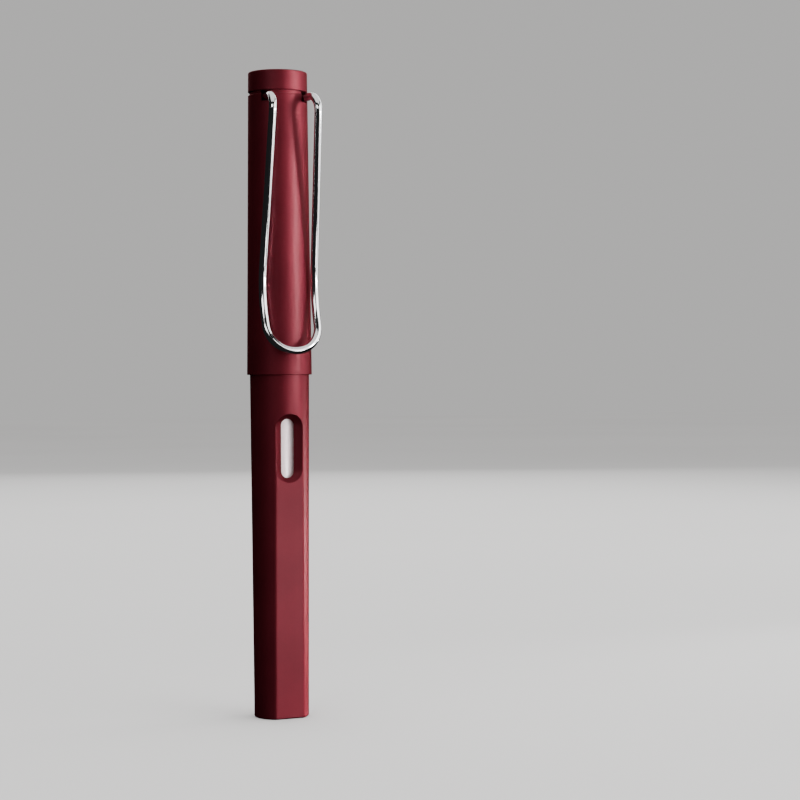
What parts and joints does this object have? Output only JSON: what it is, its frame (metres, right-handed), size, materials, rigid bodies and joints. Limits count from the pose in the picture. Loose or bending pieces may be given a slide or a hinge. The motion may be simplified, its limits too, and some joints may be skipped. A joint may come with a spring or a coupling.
{
  "type": "fountain pen",
  "caption": "Round snap-cap fountain pen with a bent-wire pocket clip, flats and an oblong ink window on the barrel, and a piston converter inside.",
  "frame": {"origin": "centre of the barrel's closed end face, on the pen's axis", "axes": "+Z along the pen's axis from the barrel end to the cap, -Y towards the pocket clip, the front ink window and the top of the nib"},
  "size_m": [0.014, 0.0183, 0.14],
  "materials": {
    "satin_red": "satin",
    "black_plastic": "satin",
    "insert_plastic": "matte",
    "chrome": "polished",
    "nib_steel": "polished",
    "milky_tube": "gloss",
    "white_plastic": "satin",
    "seal_rubber": "matte"
  },
  "bodies": {
    "barrel": {"barrel_shell": "satin_red", "barrel_thread_insert": "insert_plastic", "barrel_end_plug": "satin_red"},
    "seal_ring": {"section_seal_ring": "seal_rubber"},
    "section": {"section_grip": "black_plastic", "feed": "black_plastic", "nib": "nib_steel", "nib_tip": "nib_steel"},
    "cap_ring": {"cap_retaining_ring": "chrome"},
    "cap": {"cap_shell": "satin_red", "cap_bushing": "insert_plastic", "inner_cap": "insert_plastic", "clip_retainer": "satin_red", "cap_crown": "satin_red", "cap_top_screw": "chrome"},
    "clip": {"pocket_clip": "chrome"},
    "converter": {"converter_mouth": "black_plastic", "converter_reservoir": "milky_tube", "converter_band": "chrome", "converter_guide": "insert_plastic"},
    "converter_knob": {"converter_knob": "black_plastic", "converter_spindle": "nib_steel"},
    "piston": {"converter_piston_rod": "white_plastic", "converter_piston_seal": "seal_rubber"}
  },
  "joints": [
    {"name": "section_rise", "type": "slide", "parent": "barrel", "child": "seal_ring", "axis": [0, 0, 1], "range_m": [0, 0.0072]},
    {"name": "section_turn", "type": "hinge", "parent": "seal_ring", "child": "section", "pos_m": [0, 0, 0.0812], "axis": [0, 0, 1], "range_deg": [0, 2160]},
    {"name": "cap_turn", "type": "hinge", "parent": "section", "child": "cap_ring", "pos_m": [0, 0, 0.0848], "axis": [0, 0, 1], "continuous": true},
    {"name": "cap_pull", "type": "slide", "parent": "cap_ring", "child": "cap", "axis": [0, 0, 1], "range_m": [0, 0.055]},
    {"name": "clip_flex", "type": "hinge", "parent": "cap", "child": "clip", "pos_m": [0, -0.0009, 0.13427], "axis": [-1, 0, 0], "range_deg": [0, 4], "stiffness_Nm_per_rad": 2.5},
    {"name": "converter_pull", "type": "slide", "parent": "section", "child": "converter", "axis": [0, 0, -1], "range_m": [0, 0.015]},
    {"name": "knob_turn", "type": "hinge", "parent": "converter", "child": "converter_knob", "pos_m": [0, 0, 0.0185], "axis": [0, 0, -1], "range_deg": [0, 1800]},
    {"name": "piston_travel", "type": "slide", "parent": "converter", "child": "piston", "axis": [0, 0, 1], "range_m": [0, 0.015]}
  ],
  "couplings": [
    {"joint": "section_turn", "follows": "section_rise", "rad_per_m": 5236},
    {"joint": "knob_turn", "follows": "piston_travel", "rad_per_m": 2094.4}
  ]
}
